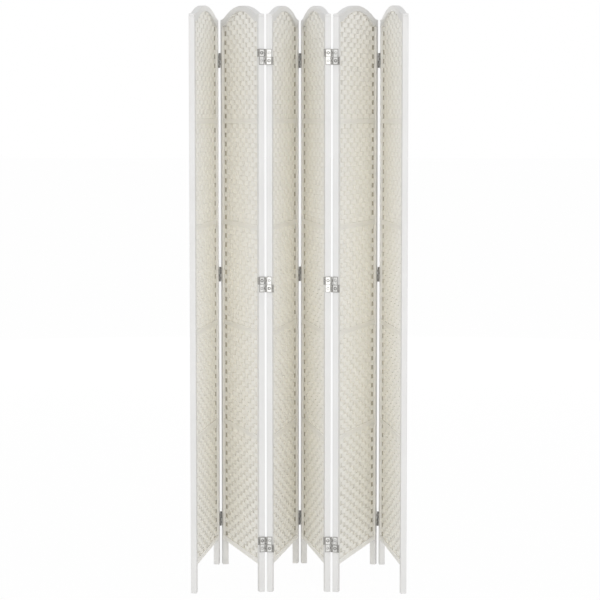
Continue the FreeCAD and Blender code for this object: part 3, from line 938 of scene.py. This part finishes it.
    def add_knuckle(self, bm, sizes, side, start, depth, low, high):
        """A rolled knuckle round a pin, and the arm that joins it to its plate."""
        near, far = sorted((side * start, side * sizes.pin_reach))
        arm = add_block(bm, (depth, near, low), (depth + sizes.leaf_thickness, far, high))
        roll = bmesh.ops.create_cone(
            bm,
            cap_ends=True,
            segments=self.knuckle_sides,
            radius1=sizes.edge_gap / 2,
            radius2=sizes.edge_gap / 2,
            depth=high - low - sizes.bevel,
            matrix=Matrix.Translation((sizes.edge_gap / 2, side * sizes.pin_reach, (low + high) / 2)),
        )["verts"]
        # The knuckle and its arm take the dark plating: painted shade for the rounded knuckle's shading and
        # the gaps beside it.
        for face in {face for vert in arm + roll for face in vert.link_faces}:
            face.material_index = self.dark
        for face in {face for vert in roll for face in vert.link_faces}:
            face.smooth = len(face.verts) == 4
        soften(bm, sharp_edges({edge for vert in roll for edge in vert.link_edges}), sizes.bevel)


class FOLDING_SCREEN_OT_stage(bpy.types.Operator):
    """Sets the floor, the light and the camera."""

    bl_idname = "folding_screen.stage"
    bl_label = "Stage"

    def execute(self, context):
        sizes = context.scene.screen_stage
        context.scene.view_settings.view_transform = "Standard"
        context.scene.cycles.max_bounces = sizes.bounces
        context.scene.cycles.diffuse_bounces = sizes.bounces
        self.make_floor(sizes)
        self.make_world(context.scene, sizes.ambient)
        turn = sizes.lamp_bearing
        self.make_lamp("front_left", -turn, sizes)
        self.make_lamp("front_right", turn, sizes)
        self.make_lamp("back_right", math.pi - turn, sizes)
        self.make_lamp("back_left", math.pi + turn, sizes)
        self.make_camera(context.scene, sizes)
        return {"FINISHED"}

    def seen_directly(self, tree):
        """1 for rays from the camera, a mirror or glass, and 0 for the light that the object gets."""
        rays = tree.nodes.new("ShaderNodeLightPath").outputs
        seen = rays["Is Camera Ray"]
        for kind in ("Is Glossy Ray", "Is Transmission Ray"):
            seen = put(tree, "ShaderNodeMath", {0: seen, 1: rays[kind]}, operation="MAXIMUM").outputs[0]
        return seen

    def make_floor(self, sizes):
        """A white floor that keeps a faint shadow."""
        bm = bmesh.new()
        bmesh.ops.create_grid(bm, x_segments=1, y_segments=1, size=sizes.floor_reach)
        mesh = bpy.data.meshes.new("floor")
        bm.to_mesh(mesh)
        bm.free()
        floor = bpy.data.objects.new("floor", mesh)
        bpy.context.scene.collection.objects.link(floor)
        material = bpy.data.materials.new("white_floor")
        tree = empty_tree(material)
        matt = put(tree, "ShaderNodeBsdfDiffuse", {"Color": (*sizes.floor, 1)}).outputs[0]
        glow = put(tree, "ShaderNodeEmission", {"Strength": 1.0}).outputs[0]
        inputs = {0: self.seen_directly(tree), 1: sizes.floor_glow}
        amount = put(tree, "ShaderNodeMath", inputs, operation="MULTIPLY").outputs[0]
        mix = put(tree, "ShaderNodeMixShader", {0: amount, 1: matt, 2: glow}).outputs[0]
        put(tree, "ShaderNodeOutputMaterial", {"Surface": mix})
        mesh.materials.append(material)

    def make_world(self, scene, ambient):
        """Even light all round, seen as white."""
        world = bpy.data.worlds.new("studio")
        tree = empty_tree(world)
        strength = remap(tree, self.seen_directly(tree), (0, 1), (ambient, 1))
        glow = put(tree, "ShaderNodeBackground", {"Color": (1, 1, 1, 1), "Strength": strength})
        put(tree, "ShaderNodeOutputWorld", {"Surface": glow.outputs[0]})
        scene.world = world

    def make_lamp(self, name, bearing, sizes):
        """A large soft lamp, turned to the middle of the screen."""
        data = bpy.data.lights.new(name, "AREA")
        data.shape, data.size, data.energy = "DISK", sizes.lamp_size, sizes.lamp_power
        lamp = bpy.data.objects.new(name, data)
        reach = sizes.lamp_distance
        lamp.location = (reach * math.sin(bearing), -reach * math.cos(bearing), sizes.lamp_level)
        lamp.visible_camera = False
        middle = (CAD_BOX[0] + CAD_BOX[1]) / 2
        lamp.rotation_euler = (middle - lamp.location).to_track_quat("-Z", "Y").to_euler()
        bpy.context.scene.collection.objects.link(lamp)

    def make_camera(self, scene, sizes):
        """A camera in front of the screen that looks a little down."""
        data = bpy.data.cameras.new("camera")
        data.lens, data.shift_y = sizes.camera_lens, sizes.camera_shift
        camera = bpy.data.objects.new("camera", data)
        camera.location = sizes.camera_place
        camera.rotation_euler = (math.pi / 2 - sizes.camera_pitch, 0, 0)
        scene.collection.objects.link(camera)
        scene.camera = camera


class FOLDING_SCREEN_PT_sidebar(bpy.types.Panel):
    """Lists the builders and their sizes."""

    bl_idname = "FOLDING_SCREEN_PT_sidebar"
    bl_label = "Folding screen"
    bl_space_type = "VIEW_3D"
    bl_region_type = "UI"
    bl_category = "Folding screen"

    def draw(self, context):
        for operator in OPERATORS:
            self.layout.operator(operator.bl_idname)
        for group in settings():
            box = self.layout.box()
            for name in group.__annotations__:
                box.prop(group, name)


GROUPS = {
    "screen_frame": FOLDING_SCREEN_PG_frame,
    "screen_weave": FOLDING_SCREEN_PG_weave,
    "screen_hinge": FOLDING_SCREEN_PG_hinge,
    "screen_finish": FOLDING_SCREEN_PG_finish,
    "screen_stage": FOLDING_SCREEN_PG_stage,
}
OPERATORS = (
    FOLDING_SCREEN_OT_posts,
    FOLDING_SCREEN_OT_crests,
    FOLDING_SCREEN_OT_rails,
    FOLDING_SCREEN_OT_rods,
    FOLDING_SCREEN_OT_weave,
    FOLDING_SCREEN_OT_hinges,
    FOLDING_SCREEN_OT_stage,
)


def register():
    for cls in (*GROUPS.values(), *OPERATORS, FOLDING_SCREEN_PT_sidebar):
        bpy.utils.register_class(cls)
    for name, group in GROUPS.items():
        setattr(bpy.types.Scene, name, PointerProperty(type=group))


def unregister():
    for name in GROUPS:
        delattr(bpy.types.Scene, name)
    for cls in (FOLDING_SCREEN_PT_sidebar, *reversed(OPERATORS), *reversed(GROUPS.values())):
        bpy.utils.unregister_class(cls)


def main():
    register()
    bpy.ops.folding_screen.posts()
    bpy.ops.folding_screen.crests()
    bpy.ops.folding_screen.rails()
    bpy.ops.folding_screen.rods()
    bpy.ops.folding_screen.weave()
    bpy.ops.folding_screen.hinges()
    bpy.ops.folding_screen.stage()


if __name__ == "__main__":
    main()
